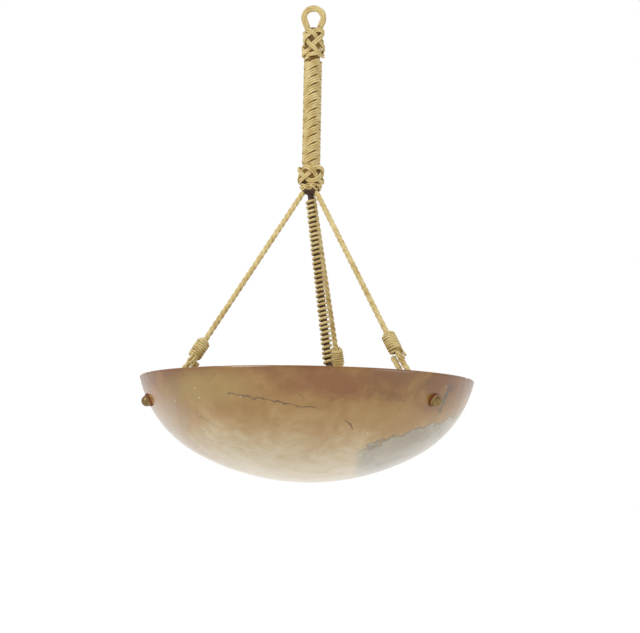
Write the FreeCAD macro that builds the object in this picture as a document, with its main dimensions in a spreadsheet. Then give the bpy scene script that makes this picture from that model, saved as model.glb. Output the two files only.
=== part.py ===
"""Alabaster bowl pendant, hung by silk cords from a braided drop.

The origin is the point of the rope eye that bears on the ceiling hook, +Z is up,
and +X is to the right of someone who faces the lamp.  Everything hangs below:
eye, upper knot, braid, lower knot, three cords, and the bowl that they carry.
The wrapped flex comes out of the lower knot and holds the lampholder in the bowl.
"""
import FreeCAD, Part
import math
import os
import Sketcher
from FreeCAD import Placement, Rotation, Vector

# alias, size in mm (angles in degrees, counts as they are), what it is
SIZES = [
    ("eye_inner_radius", 7.0, "rope eye, inside radius of its top"),
    ("eye_height", 19.0, "hanging point down to the upper knot"),
    ("eye_bundle", 7.0, "thickness of the strands that form the eye"),
    ("eye_leg_spacing", 13.0, "between the eye's two legs at the upper knot"),
    ("eye_leg_bend", 8.0, "bend of each leg where it leaves the knot"),
    ("eye_leg_depth", 12.0, "legs held inside the upper knot"),
    ("upper_knot_length", 35.0, "upper knot, top to bottom"),
    ("upper_knot_width", 26.0, "over its wraps"),
    ("upper_knot_wraps", 4.0, "wraps"),
    ("wrap_bulge", 1.5, "how far each wrap stands out"),
    ("swing_ball", 9.5, "rounded top of the braid, radius"),
    ("ball_play", 0.3, "between a rounded end and its cup"),
    ("neck_length", 2.0, "narrow neck of the braid under the upper knot"),
    ("neck_taper", 3.0, "from the neck out to the full braid"),
    ("braid_width", 20.5, "round braid"),
    ("braid_length", 118.0, "braid seen between the two knots"),
    ("braid_socket", 12.0, "braid held inside the lower knot"),
    ("lower_knot_width", 30.0, "over the two upper rows"),
    ("lower_knot_length", 31.5, "lower knot, top to the bottom of its round underside"),
    ("lower_row_height", 10.3, "one of the two upper rows"),
    ("row_bulge", 2.0, "how far each row stands out"),
    ("foot_row_width", 23.4, "bottom row of the lower knot"),
    ("foot_row_round", 6.0, "round of the bottom row's wrap"),
    ("swivel_radius", 15.5, "rounded underside of the lower knot, about the swivel point"),
    ("swivel_play", 0.3, "between that underside and the tops of the cords"),
    ("swivel_height", 214.0, "swivel point of the cords above the rim"),
    ("cord_diameter", 6.0, "suspension cord"),
    ("cord_bend", 60.0, "gentle bend of a cord under its lashing"),
    ("flex_diameter", 6.5, "round flex"),
    ("flex_play", 0.35, "bore for the flex in the lower knot, on the radius"),
    ("fit_play", 0.15, "all round a piece that is held fast"),
    ("bowl_width", 350.0, "over the rim"),
    ("bowl_depth", 107.0, "rim to bottom, outside"),
    ("bowl_bottom_radius", 242.0, "curve of the bottom, outside"),
    ("bowl_side_radius", 120.0, "curve of the side, outside"),
    ("bowl_wall", 8.0, "stone thickness"),
    ("rim_bevel", 0.8, "broken edge of the rim"),
    ("bolt_drop", 26.0, "rim down to the bolt holes, outside"),
    ("bolt_hole", 6.0, "drilled hole"),
    ("bolt_diameter", 5.0, "shank of an eye bolt"),
    ("eye_wire", 3.2, "wire of the eye"),
    ("eye_inside", 9.0, "inside of the eye"),
    ("eye_neck", 1.0, "shank between the eye and its collar"),
    ("collar_width", 10.0, "collar turned on the bolt"),
    ("collar_height", 2.2, "collar thickness"),
    ("washer_width", 14.0, "fibre washer"),
    ("washer_height", 1.2, "washer thickness"),
    ("washer_bore", 5.4, "washer hole"),
    ("inside_seat", 0.3, "washer off the hollow side of the wall, at its centre"),
    ("outside_seat", 0.05, "washer off the round side of the wall, at its centre"),
    ("nut_flange_width", 13.4, "foot of a dome nut"),
    ("nut_flange_height", 1.5, "foot thickness"),
    ("nut_dome_width", 11.4, "dome over the foot"),
    ("nut_dome_height", 5.6, "dome above the foot"),
    ("nut_bore_depth", 4.6, "blind hole of the dome nut"),
    ("nut_play", 0.05, "thread clearance on the radius"),
    ("bight_play", 0.1, "cord off the wire of its eye"),
    ("lashing_wire", 4.4, "strands laid round the cord, as one wire"),
    ("lashing_turns", 4.0, "turns of a lashing"),
    ("lashing_pitch", 4.95, "from turn to turn"),
    ("lashing_play", 0.3, "between a lashing and the returning end of its cord"),
    ("lashing_tail", 9.0, "cut tail under a lashing"),
    ("tail_bend", 5.0, "bend that turns the tail down"),
    ("tail_lead", 5.5, "from the first turn to that bend"),
    ("flex_slant", 7.1, "flex off the upright, towards +X, in degrees"),
    ("bulb_clearance", 19.9, "bulb off the bottom of the bowl: the flex is cut to suit"),
    ("flex_inside", 15.0, "flex inside the grip and the cap"),
    ("winding_wire", 3.0, "cord wound round the flex"),
    ("winding_turns", 24.0, "turns drawn here, at an open pitch"),
    ("winding_start", 7.0, "bare flex above the winding"),
    ("winding_end_gap", 2.5, "bare flex above the grip"),
    ("grip_width", 12.0, "cord grip"),
    ("grip_height", 8.5, "cord grip"),
    ("grip_seat", 1.5, "cord grip sunk into the cap"),
    ("grip_round", 1.5, "rounded top edge of the grip"),
    ("grip_step", 2.0, "shoulder that rests on the cap"),
    ("cap_neck_width", 15.0, "neck of the lampholder's cap"),
    ("cap_neck_height", 3.5, "neck height"),
    ("cap_height", 12.0, "cap, top to bottom"),
    ("cap_round", 17.0, "round of the cap's shoulder"),
    ("holder_width", 39.2, "lampholder"),
    ("holder_sheet", 1.0, "brass sheet"),
    ("shell_height", 23.0, "lampholder's skirt"),
    ("bead_height", 3.0, "bead rolled on the skirt"),
    ("bead_stand", 0.8, "how far the bead stands out"),
    ("insert_floor", 5.0, "floor of the porcelain insert"),
    ("insert_height", 21.0, "porcelain insert"),
    ("insert_drop", 1.5, "insert below the cap's edge"),
    ("sleeve_bore", 27.4, "threaded sleeve, inside"),
    ("sleeve_sheet", 0.4, "threaded sleeve, thickness"),
    ("sleeve_height", 15.0, "threaded sleeve"),
    ("contact_width", 8.0, "centre contact"),
    ("contact_height", 1.6, "centre contact"),
    ("contact_gap", 0.2, "centre contact to the bulb"),
    ("bulb_cap_width", 26.4, "bulb's screw cap"),
    ("bulb_cap_height", 23.0, "bulb's screw cap with its tip"),
    ("bulb_tip_width", 9.0, "bulb's contact tip"),
    ("bulb_tip_height", 4.8, "from the tip up to the screw"),
    ("bulb_cap_sheet", 0.6, "sheet of the bulb's cap"),
    ("bulb_width", 40.0, "glass of the bulb"),
    ("bulb_neck_width", 24.9, "neck of the glass"),
    ("bulb_neck_height", 6.0, "neck of the glass"),
    ("bulb_neck_seat", 3.0, "neck cemented into the cap"),
    ("bulb_wall", 0.9, "glass thickness"),
]

# name, azimuth of its hole from +X in degrees, middle of its lashing above the eye in mm
SUSPENSIONS = [
    ("rear", 73.0, 58.0),
    ("left", 194.0, 50.0),
    ("front", 319.0, 56.0),
]

doc = FreeCAD.newDocument("alabaster_bowl_pendant")
sheet = doc.addObject("Spreadsheet::Sheet", "Sizes")


def fill_sheet():
    """Every size of the table above gets a row of the sheet, with its alias."""
    for row, (alias, size, note) in enumerate(SIZES, start=1):
        sheet.set(f"A{row}", note)
        sheet.set(f"B{row}", str(size))
        sheet.setAlias(f"B{row}", alias)
    row = len(SIZES) + 1
    for name, azimuth, lashing in SUSPENSIONS:
        for alias, size in ((name + "_azimuth", azimuth), (name + "_lashing", lashing)):
            sheet.set(f"A{row}", alias.replace("_", " "))
            sheet.set(f"B{row}", str(size))
            sheet.setAlias(f"B{row}", alias)
            row += 1
    doc.recompute()


fill_sheet()


def size(alias):
    """A size as the sheet holds it now."""
    return float(getattr(sheet, alias))


def worked(expression):
    """The value of an expression over the sheet's aliases."""
    return float(sheet.evalExpression(expression))


# ---------------------------------------------------------------- outlines that are turned

def arc_between(start, end, radius, side):
    """Arc from start to end that bulges to the left (+1) or right (-1) of the way there."""
    chord = end - start
    middle = (start + end) * 0.5
    left = Vector(-chord.y, chord.x, 0).normalize()
    sagitta = radius - math.sqrt(max(radius ** 2 - (chord.Length / 2) ** 2, 0.0))
    return Part.Arc(start, middle + left * (side * sagitta), end)


def fix_point(sketch, edge, end, across, up):
    """Holds one end of an edge at its two expressions, or on the sketch's axes."""
    for kind, axis, expression in (("DistanceX", -2, across), ("DistanceY", -1, up)):
        if expression == "0":
            sketch.addConstraint(Sketcher.Constraint("PointOnObject", edge, end, axis))
        else:
            mark = sketch.addConstraint(
                Sketcher.Constraint(kind, -1, 1, edge, end, worked(expression)))
            sketch.setExpression(f"Constraints[{mark}]", expression)


def new_sketch(body, label):
    """A sketch on the body's own upright plane: across is the radius, up is the axis."""
    plane = next(p for p in body.Origin.OriginFeatures if p.Role == "XZ_Plane")
    sketch = body.newObject("Sketcher::SketchObject", label + "_outline")
    sketch.AttachmentSupport = (plane, [""])
    sketch.MapMode = "FlatFace"
    return sketch


def turn(body, sketch):
    """The finished outline, turned once round the body's axis."""
    turned_solid = body.newObject("PartDesign::Revolution", body.Label + "_turned")
    turned_solid.Profile = sketch
    turned_solid.ReferenceAxis = (sketch, ["V_Axis"])
    turned_solid.Angle = 360
    sketch.Visibility = False


def turned(label, outline, placement):
    """A piece turned on a lathe.

    The outline is a list of corners (radius, height) as expressions.  A corner with
    two more entries starts an arc to the next corner: its radius and its side.
    """
    body = doc.addObject("PartDesign::Body", label)
    body.Label = label
    sketch = new_sketch(body, label)
    corners = [Vector(worked(c[0]), worked(c[1]), 0) for c in outline]
    for place, corner in enumerate(outline):
        start, end = corners[place], corners[(place + 1) % len(corners)]
        if len(corner) == 4:
            edge = sketch.addGeometry(arc_between(start, end, worked(corner[2]), corner[3]))
        else:
            edge = sketch.addGeometry(Part.LineSegment(start, end))
    for place, corner in enumerate(outline):
        following = (place + 1) % len(outline)
        ends = arc_ends(sketch, place, corners[place])
        next_ends = arc_ends(sketch, following, corners[following])
        sketch.addConstraint(
            Sketcher.Constraint("Coincident", place, ends[1], following, next_ends[0]))
        fix_point(sketch, place, ends[0], corner[0], corner[1])
        if len(corner) == 4:
            mark = sketch.addConstraint(
                Sketcher.Constraint("Radius", place, worked(corner[2])))
            sketch.setExpression(f"Constraints[{mark}]", corner[2])
    turn(body, sketch)
    body.Placement = placement
    return body


def arc_ends(sketch, edge, start):
    """Which end of a sketch edge lies at the corner that it starts from, and the other."""
    at_first = (sketch.getPoint(edge, 1) - start).Length
    at_second = (sketch.getPoint(edge, 2) - start).Length
    return (1, 2) if at_first <= at_second else (2, 1)


# ---------------------------------------------------------------- tubes that follow a path

def rounded_path(points, radii):
    """Straight runs through the points, with a tangent arc of its own radius at each corner."""
    edges, here = [], points[0]
    for corner, following, radius in zip(points[1:-1], points[2:], radii):
        way_in = (corner - here).normalize()
        way_out = (following - corner).normalize()
        turn_angle = way_in.getAngle(way_out)
        reach = radius * math.tan(turn_angle / 2)
        start, end = corner - way_in * reach, corner + way_out * reach
        toward = (way_out - way_in).normalize()
        centre = corner + toward * (radius / math.cos(turn_angle / 2))
        edges.append(Part.LineSegment(here, start).toShape())
        edges.append(Part.Arc(start, centre - toward * radius, end).toShape())
        here = end
    edges.append(Part.LineSegment(here, points[-1]).toShape())
    return edges


def tangent_arc(start, corner, end):
    """Arc from start to end whose end tangents meet at the corner."""
    middle = (start + end) * 0.5
    half_chord = (end - start).Length / 2
    lean = math.atan2((corner - middle).Length, half_chord)
    through = middle + (corner - middle).normalize() * (half_chord * math.tan(lean / 2))
    return Part.Arc(start, through, end).toShape()


def biarc(start, start_way, end, end_way):
    """Two arcs that leave start along start_way and reach end along end_way."""
    span = end - start
    both = start_way + end_way
    spread = 2 * (1 - start_way.dot(end_way))
    reach = (math.sqrt(span.dot(both) ** 2 + spread * span.dot(span)) - span.dot(both)) / spread
    first, second = start + start_way * reach, end - end_way * reach
    join = (first + second) * 0.5
    return [tangent_arc(start, first, join), tangent_arc(join, second, end)]


def helix_point(radius, pitch, angle, hand):
    """Point and direction of a helix that rises with the angle; hand is +1 right, -1 left."""
    point = Vector(radius * math.cos(angle), hand * radius * math.sin(angle),
                   pitch * angle / (2 * math.pi))
    way = Vector(-radius * math.sin(angle), hand * radius * math.cos(angle),
                 pitch / (2 * math.pi))
    return point, way.normalize()


def winding_edges(radius, pitch, turns, hand):
    """A helix as biarcs of a half turn each."""
    edges = []
    for half in range(int(round(2 * turns))):
        start, start_way = helix_point(radius, pitch, half * math.pi, hand)
        end, end_way = helix_point(radius, pitch, (half + 1) * math.pi, hand)
        edges += biarc(start, start_way, end, end_way)
    return edges


def tube(edges, diameter):
    """A round tube along the path, from its first end to its last."""
    path = Part.Wire(edges)
    first = path.Edges[0]
    start = first.valueAt(first.FirstParameter)
    way = first.tangentAt(first.FirstParameter)
    ring = Part.Wire(Part.Circle(start, way, diameter / 2).toShape())
    solid = Part.Solid(path.makePipeShell([ring], True, True))
    if solid.Volume < 0:
        solid.reverse()
    swept = math.pi * diameter ** 2 / 4 * path.Length
    print(f"tube: length {path.Length:.1f} mm, volume over section times length "
          f"{solid.Volume / swept:.4f}")
    return solid


def least_gap(edges, diameter):
    """The least gap between neighbouring turns of a winding, measured between points."""
    per_arc = 8
    points = [point for edge in edges for point in edge.discretize(per_arc + 1)[:-1]]
    half_turn, turn_and_half = 2 * per_arc, 6 * per_arc
    nearest = min(
        (point - other).Length
        for place, point in enumerate(points)
        for other in points[place + half_turn:place + turn_and_half])
    return nearest - diameter


def shaped(label, solid, placement=None):
    """A piece whose shape is worked out from the sheet, where no feature fits."""
    piece = doc.addObject("Part::Feature", label)
    piece.Label = label
    piece.Shape = solid
    if placement is not None:
        piece.Placement = placement
    return piece


def cut_from(label, base, tool):
    """The base less the tool."""
    cut = doc.addObject("Part::Cut", label)
    cut.Label = label
    cut.Base = base
    cut.Tool = tool
    return cut


def upright(height):
    """Stands a piece on its own origin at this height."""
    return Placement(Vector(0, 0, height), Rotation())


# ---------------------------------------------------------------- heights on the axis

BRAID_PIVOT = -(size("eye_height") + size("upper_knot_length"))
LOWER_KNOT_TOP = BRAID_PIVOT - size("braid_length")
LOWER_KNOT_FOOT = LOWER_KNOT_TOP - size("lower_knot_length")
SWIVEL = LOWER_KNOT_FOOT + size("swivel_radius")
RIM = SWIVEL - size("swivel_height")
BOWL_BOTTOM = RIM - size("bowl_depth")


# ---------------------------------------------------------------- rope eye and upper knot

def eye_path():
    """The strands' middle line: up one leg, over the hook, and down the other leg."""
    middle = size("eye_inner_radius") + size("eye_bundle") / 2
    centre = Vector(0, 0, -size("eye_inner_radius"))
    knee = Vector(size("eye_leg_spacing") / 2, 0, -size("eye_height"))
    to_centre = centre - knee
    lean = math.asin(middle / to_centre.Length)
    side_way = math.atan2(-to_centre.x, to_centre.z)
    leg_angle = lean - side_way
    leg_way = Vector(math.sin(leg_angle), 0, math.cos(leg_angle))
    touch = knee + leg_way * (to_centre.Length * math.cos(lean))
    foot = knee - Vector(0, 0, size("eye_leg_depth"))
    right = rounded_path([foot, knee, touch], [size("eye_leg_bend")])
    over = Part.Arc(touch, Vector(0, 0, size("eye_bundle") / 2), mirrored_point(touch))
    left = [edge.mirror(Vector(0, 0, 0), Vector(1, 0, 0)) for edge in reversed(right)]
    return right + [over.toShape()] + left


def mirrored_point(point):
    """The same point on the other side of the upright plane through the origin."""
    return Vector(-point.x, point.y, point.z)


def make_eye_and_upper_knot():
    """The eye that hangs on the hook, and the wrapped knot that holds its legs."""
    shaped("hanging_loop", tube(eye_path(), size("eye_bundle")))
    wrap = "Sizes.upper_knot_length / Sizes.upper_knot_wraps"
    inner_radius = "Sizes.upper_knot_width / 2 - Sizes.wrap_bulge"
    wrap_round = f"(({wrap}) ^ 2 / 4 + Sizes.wrap_bulge ^ 2) / (2 * Sizes.wrap_bulge)"
    cup = "Sizes.swing_ball + Sizes.ball_play"
    wraps = int(size("upper_knot_wraps"))
    outline = [("0", cup, cup, 1), (cup, "0")]
    outline += [(inner_radius, "0" if number == 0 else f"{number} * {wrap}", wrap_round, -1)
                for number in range(wraps)]
    outline += [(inner_radius, "Sizes.upper_knot_length"), ("0", "Sizes.upper_knot_length")]
    barrel = turned("upper_knot_barrel", outline, upright(BRAID_PIVOT))
    room = shaped("room_for_the_legs",
                  tube(eye_path(), size("eye_bundle") + 2 * size("fit_play")))
    cut_from("upper_collar_knot", barrel, room)


# ---------------------------------------------------------------- braid and lower knot

def make_braid_and_lower_knot():
    """The round braid, the flex in its middle, and the plaited collar under it."""
    bore = "Sizes.flex_diameter / 2 + Sizes.fit_play"
    ball = "Sizes.swing_ball"
    pivot = "(Sizes.braid_length + Sizes.braid_socket)"
    turned("main_braid", [
        (bore, "0"),
        ("Sizes.braid_width / 2", "0"),
        ("Sizes.braid_width / 2", f"{pivot} - Sizes.neck_length - Sizes.neck_taper"),
        (ball, f"{pivot} - Sizes.neck_length"),
        (ball, pivot, ball, -1),
        (bore, f"{pivot} + sqrt(({ball}) ^ 2 - ({bore}) ^ 2)"),
    ], upright(LOWER_KNOT_TOP - size("braid_socket")))

    flex = doc.addObject("Part::Cylinder", "braid_flex")
    flex.Label = "braid_flex"
    flex.setExpression("Radius", "Sizes.flex_diameter / 2")
    flex.setExpression("Height", f"Sizes.lower_knot_length + Sizes.braid_length"
                       f" + sqrt(({ball}) ^ 2 - ({bore}) ^ 2)"
                       " - Sizes.flex_diameter / 2 - Sizes.flex_play")
    flex.Placement = upright(
        LOWER_KNOT_FOOT + size("flex_diameter") / 2 + size("flex_play"))

    swivel_bore = "(Sizes.flex_diameter / 2 + Sizes.flex_play)"
    foot = "(Sizes.foot_row_width / 2)"
    ball_foot = "Sizes.swivel_radius"
    top = "Sizes.lower_knot_length"
    row = "Sizes.lower_row_height"
    valley = "(Sizes.lower_knot_width / 2 - Sizes.row_bulge)"
    row_round = f"(({row}) ^ 2 / 4 + Sizes.row_bulge ^ 2) / (2 * Sizes.row_bulge)"
    socket = "(Sizes.braid_width / 2 + Sizes.fit_play)"

    def on_ball(radius):
        return f"{ball_foot} - sqrt({ball_foot} ^ 2 - {radius} ^ 2)"

    turned("lower_collar_knot", [
        (swivel_bore, on_ball(swivel_bore), ball_foot, -1),
        (foot, on_ball(foot), "Sizes.foot_row_round", -1),
        (foot, f"{top} - 2 * {row}"),
        (valley, f"{top} - 2 * {row}", row_round, -1),
        (valley, f"{top} - {row}", row_round, -1),
        (valley, top),
        (socket, top),
        (socket, f"{top} - Sizes.braid_socket"),
        (swivel_bore, f"{top} - Sizes.braid_socket"),
    ], upright(LOWER_KNOT_FOOT))


# ---------------------------------------------------------------- bowl

def bowl_curves():
    """Centre of the side's curve and the point where it meets the bottom's curve."""
    bottom, side = size("bowl_bottom_radius"), size("bowl_side_radius")
    rim = Vector(size("bowl_width") / 2, size("bowl_depth") - size("rim_bevel"), 0)
    centre = Vector(0, bottom, 0)
    apart = rim - centre
    along = (apart.Length ** 2 + (bottom - side) ** 2 - side ** 2) / (2 * apart.Length)
    across = math.sqrt((bottom - side) ** 2 - along ** 2)
    way = Vector(apart).normalize()
    side_centre = centre + way * along + Vector(way.y, -way.x, 0) * across
    join = centre + (side_centre - centre).normalize() * bottom
    return side_centre, join


def bowl_body():
    """The turned bowl: two tangent curves outside, the same two a wall's thickness inside."""
    body = doc.addObject("PartDesign::Body", "turned_bowl")
    body.Label = "turned_bowl"
    sketch = new_sketch(body, "turned_bowl")
    side_centre, join = bowl_curves()
    bottom, side, wall = size("bowl_bottom_radius"), size("bowl_side_radius"), size("bowl_wall")
    depth, bevel = size("bowl_depth"), size("rim_bevel")
    centre = Vector(0, bottom, 0)
    join_inside = join + (centre - join).normalize() * wall
    rim = Vector(size("bowl_width") / 2, depth - bevel, 0)
    rise = depth - bevel - side_centre.y
    rim_inside = Vector(side_centre.x + math.sqrt((side - wall) ** 2 - rise ** 2),
                        depth - bevel, 0)
    corners = [Vector(0, 0, 0), join, rim, Vector(rim.x - bevel, depth, 0),
               Vector(rim_inside.x + bevel, depth, 0), rim_inside, join_inside,
               Vector(0, wall, 0)]

    def round_edge(start, end, middle, radius):
        halfway = ((start + end) * 0.5 - middle).normalize()
        return Part.Arc(start, middle + halfway * radius, end)

    drawn = [
        round_edge(corners[0], corners[1], centre, bottom),
        round_edge(corners[1], corners[2], side_centre, side),
        Part.LineSegment(corners[2], corners[3]),
        Part.LineSegment(corners[3], corners[4]),
        Part.LineSegment(corners[4], corners[5]),
        round_edge(corners[5], corners[6], side_centre, side - wall),
        round_edge(corners[6], corners[7], centre, bottom - wall),
        Part.LineSegment(corners[7], corners[0]),
    ]
    for edge in drawn:
        sketch.addGeometry(edge)
    ends = [arc_ends(sketch, place, corner) for place, corner in enumerate(corners)]

    def hold(*constraint, expression=None):
        mark = sketch.addConstraint(Sketcher.Constraint(*constraint))
        if expression:
            sketch.setExpression(f"Constraints[{mark}]", expression)

    for place in range(len(corners)):
        following = (place + 1) % len(corners)
        if place in (0, 5):
            hold("Tangent", place, ends[place][1], following, ends[following][0])
        else:
            hold("Coincident", place, ends[place][1], following, ends[following][0])
    hold("Coincident", 0, ends[0][0], -1, 1)
    hold("PointOnObject", 0, 3, -2)
    hold("PointOnObject", 7, ends[7][0], -2)
    hold("Coincident", 6, 3, 0, 3)
    hold("Coincident", 5, 3, 1, 3)
    hold("Radius", 0, bottom, expression="Sizes.bowl_bottom_radius")
    hold("Radius", 1, side, expression="Sizes.bowl_side_radius")
    hold("Radius", 6, bottom - wall, expression="Sizes.bowl_bottom_radius - Sizes.bowl_wall")
    hold("DistanceX", -1, 1, 2, ends[2][0], rim.x, expression="Sizes.bowl_width / 2")
    hold("DistanceY", -1, 1, 2, ends[2][0], rim.y,
         expression="Sizes.bowl_depth - Sizes.rim_bevel")
    hold("DistanceX", 2, ends[2][1], 2, ends[2][0], bevel, expression="Sizes.rim_bevel")
    hold("DistanceY", 2, ends[2][0], 2, ends[2][1], bevel, expression="Sizes.rim_bevel")
    hold("Horizontal", 3)
    hold("DistanceX", 4, ends[4][1], 4, ends[4][0], bevel, expression="Sizes.rim_bevel")
    hold("DistanceY", 4, ends[4][1], 4, ends[4][0], bevel, expression="Sizes.rim_bevel")
    turn(body, sketch)
    body.Placement = upright(BOWL_BOTTOM)
    return body


def bolt_frame(azimuth, along=0.0):
    """Placement on a bolt's axis: its +Z leaves the bowl square to the wall.

    The distance along is from the outside of the wall, outwards.
    """
    side_centre = bowl_curves()[0]
    side = size("bowl_side_radius")
    height = size("bowl_depth") - size("bolt_drop")
    radius = side_centre.x + math.sqrt(side ** 2 - (height - side_centre.y) ** 2)
    out, up = (radius - side_centre.x) / side, (height - side_centre.y) / side
    turn_out = Rotation(Vector(0, 0, 1), azimuth)
    lean = Rotation(Vector(0, 1, 0), math.degrees(math.atan2(out, up)))
    local = Vector(radius + out * along, 0, BOWL_BOTTOM + height + up * along)
    return Placement(turn_out.multVec(local), turn_out.multiply(lean))


def make_bowl():
    """The bowl with its three holes, each drilled square to the wall."""
    body = bowl_body()
    drills = []
    for name, _, _ in SUSPENSIONS:
        drill = doc.addObject("Part::Cylinder", name + "_drill")
        drill.setExpression("Radius", "Sizes.bolt_hole / 2")
        drill.setExpression("Height", "3 * Sizes.bowl_wall")
        drill.Placement = bolt_frame(size(name + "_azimuth"), -2 * size("bowl_wall"))
        drills.append(drill)
    holes = doc.addObject("Part::MultiFuse", "bolt_holes")
    holes.Shapes = drills
    cut_from("alabaster_bowl", body, holes)


# ---------------------------------------------------------------- eye bolts and dome nuts

def ring_piece(label, outer, bore, height, placement):
    """A flat washer or collar with a hole, from three expressions."""
    return turned(label, [(f"{bore} / 2", "0"), (f"{outer} / 2", "0"),
                          (f"{outer} / 2", height), (f"{bore} / 2", height)], placement)


def eye_centre_along():
    """Middle of a bolt's eye, measured on the bolt's axis from the outside of the wall."""
    return -(size("bowl_wall") + size("inside_seat") + size("washer_height")
             + size("collar_height") + size("eye_neck") + size("eye_wire")
             + size("eye_inside") / 2)


def make_bolt_set(name):
    """Eye bolt, washers on both sides of the stone, and the dome nut outside."""
    azimuth = size(name + "_azimuth")
    ring = doc.addObject("Part::Torus", name + "_eye_ring")
    ring.setExpression("Radius1", "Sizes.eye_inside / 2 + Sizes.eye_wire / 2")
    ring.setExpression("Radius2", "Sizes.eye_wire / 2")
    eye = bolt_frame(azimuth, eye_centre_along())
    ring.Placement = eye.multiply(Placement(Vector(), Rotation(Vector(0, 1, 0), 90)))

    ring_middle = (size("eye_inside") + size("eye_wire")) / 2
    nut_seat = size("outside_seat") + size("washer_height")
    shank = doc.addObject("Part::Cylinder", name + "_eye_shank")
    shank.setExpression("Radius", "Sizes.bolt_diameter / 2")
    shank.setExpression("Height", "Sizes.eye_wire / 2 + Sizes.eye_neck + Sizes.collar_height"
                        " + 2 * Sizes.washer_height + Sizes.inside_seat + Sizes.outside_seat"
                        " + Sizes.bowl_wall + Sizes.nut_bore_depth - 4 * Sizes.nut_play")
    shank.Placement = bolt_frame(azimuth, eye_centre_along() + ring_middle)

    collar = doc.addObject("Part::Cylinder", name + "_eye_collar")
    collar.setExpression("Radius", "Sizes.collar_width / 2")
    collar.setExpression("Height", "Sizes.collar_height")
    inside = -(size("bowl_wall") + size("inside_seat") + size("washer_height"))
    collar.Placement = bolt_frame(azimuth, inside - size("collar_height"))

    bolt = doc.addObject("Part::MultiFuse", name + "_eye_bolt")
    bolt.Label = name + "_eye_bolt"
    bolt.Shapes = [ring, shank, collar]

    ring_piece(name + "_inside_washer", "Sizes.washer_width", "Sizes.washer_bore",
               "Sizes.washer_height", bolt_frame(azimuth, inside))
    ring_piece(name + "_outside_washer", "Sizes.washer_width", "Sizes.washer_bore",
               "Sizes.washer_height", bolt_frame(azimuth, size("outside_seat")))

    bore = "(Sizes.bolt_diameter / 2 + Sizes.nut_play)"
    dome = "(Sizes.nut_dome_width / 2)"
    foot = "Sizes.nut_flange_height"
    dome_round = f"({dome} ^ 2 + Sizes.nut_dome_height ^ 2) / (2 * Sizes.nut_dome_height)"
    turned(name + "_dome_nut", [
        (bore, "0"),
        ("Sizes.nut_flange_width / 2", "0"),
        ("Sizes.nut_flange_width / 2", f"{foot} / 2"),
        (dome, foot, dome_round, -1),
        ("0", f"{foot} + Sizes.nut_dome_height"),
        ("0", "Sizes.nut_bore_depth"),
        (bore, "Sizes.nut_bore_depth"),
    ], bolt_frame(azimuth, nut_seat))


# ---------------------------------------------------------------- cords and lashings

def bight_radius():
    """Middle of the cord round the wire of its eye."""
    return size("eye_wire") / 2 + size("bight_play") + size("cord_diameter") / 2


def hold_frame(name):
    """Where a cord bears on its eye, the way up the cord, and the way out across it."""
    azimuth = math.radians(size(name + "_azimuth"))
    frame = bolt_frame(size(name + "_azimuth"),
                       eye_centre_along() - (size("eye_inside") + size("eye_wire")) / 2)
    hold = frame.Base
    up = (Vector(0, 0, SWIVEL) - hold).normalize()
    sideways = Vector(-math.sin(azimuth), math.cos(azimuth), 0)
    out = sideways.cross(up).normalize()
    if out.dot(Vector(math.cos(azimuth), math.sin(azimuth), 0)) < 0:
        out = -out
    return hold, up, out, sideways


def lashing_height():
    """A lashing's length along its cord, over its turns."""
    return size("lashing_turns") * size("lashing_pitch") + size("lashing_wire")


def cord_path(name):
    """Down from the lower knot, through the eye, and back up to the lashing."""
    hold, up, out, _ = hold_frame(name)
    bight = bight_radius()
    knot_foot = size(name + "_lashing") - lashing_height() / 2
    straight = knot_foot - 2 * size("lashing_play")
    top = hold + up * ((Vector(0, 0, SWIVEL) - hold).Length
                       - size("swivel_radius") - size("swivel_play"))
    # the standing side leans out from the lashing to the far side of the wire
    lean = math.asin(bight / straight)
    leave = hold + up * (bight * math.sin(lean)) + out * (bight * math.cos(lean))
    corner = hold + up * straight
    standing = rounded_path([top, corner, leave], [size("cord_bend")])
    # the returning side stands off the standing one by a cord's thickness
    spread = size("cord_diameter") + size("lashing_play")
    rest = math.atan2(spread - bight, straight)
    arrive = hold - up * (bight * math.sin(rest)) - out * (bight * math.cos(rest))
    under = hold - up * bight
    end = arrive + (up * math.cos(rest) - out * math.sin(rest)) * (
        straight - 2 * size("lashing_play"))
    return standing + [Part.Arc(leave, under, arrive).toShape(),
                       Part.LineSegment(arrive, end).toShape()]


def make_lashing(name):
    """Turns of the cord's own strands above its eye, with the cut tail turned down.

    The turns are worked out round an upright cord and then leaned over to the real one.
    """
    radius = size("cord_diameter") / 2 + size("fit_play") + size("lashing_wire") / 2
    pitch, turns, bend = size("lashing_pitch"), size("lashing_turns"), size("tail_bend")
    first, first_way = helix_point(radius, pitch, 0.0, -1)
    last, last_way = helix_point(radius, pitch, 2 * math.pi * turns, -1)
    corner = first - first_way * size("tail_lead")
    tail_end = corner - Vector(0, 0, size("lashing_tail"))
    turns_alone = winding_edges(radius, pitch, turns, -1)
    print(f"{name} lashing: least gap {least_gap(turns_alone, size('lashing_wire')):.2f} mm")
    tucked = Part.LineSegment(last, last + last_way * size("lashing_wire")).toShape()
    path = rounded_path([tail_end, corner, first], [bend]) + turns_alone + [tucked]

    hold, up, _, sideways = hold_frame(name)
    tail_angle = math.degrees(math.atan2(corner.y, corner.x))
    ahead = Rotation(up, -tail_angle).multVec(sideways)
    foot = size(name + "_lashing") - lashing_height() / 2 + size("lashing_wire") / 2
    shaped(name + "_lashing", tube(path, size("lashing_wire")),
           Placement(hold + up * foot, Rotation(ahead, up.cross(ahead), up, "ZXY")))


def make_suspension(name):
    """One of the three cords with everything that fastens it to the bowl."""
    make_bolt_set(name)
    shaped(name + "_cord", tube(cord_path(name), size("cord_diameter")))
    make_lashing(name)


# ---------------------------------------------------------------- flex and lampholder

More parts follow.
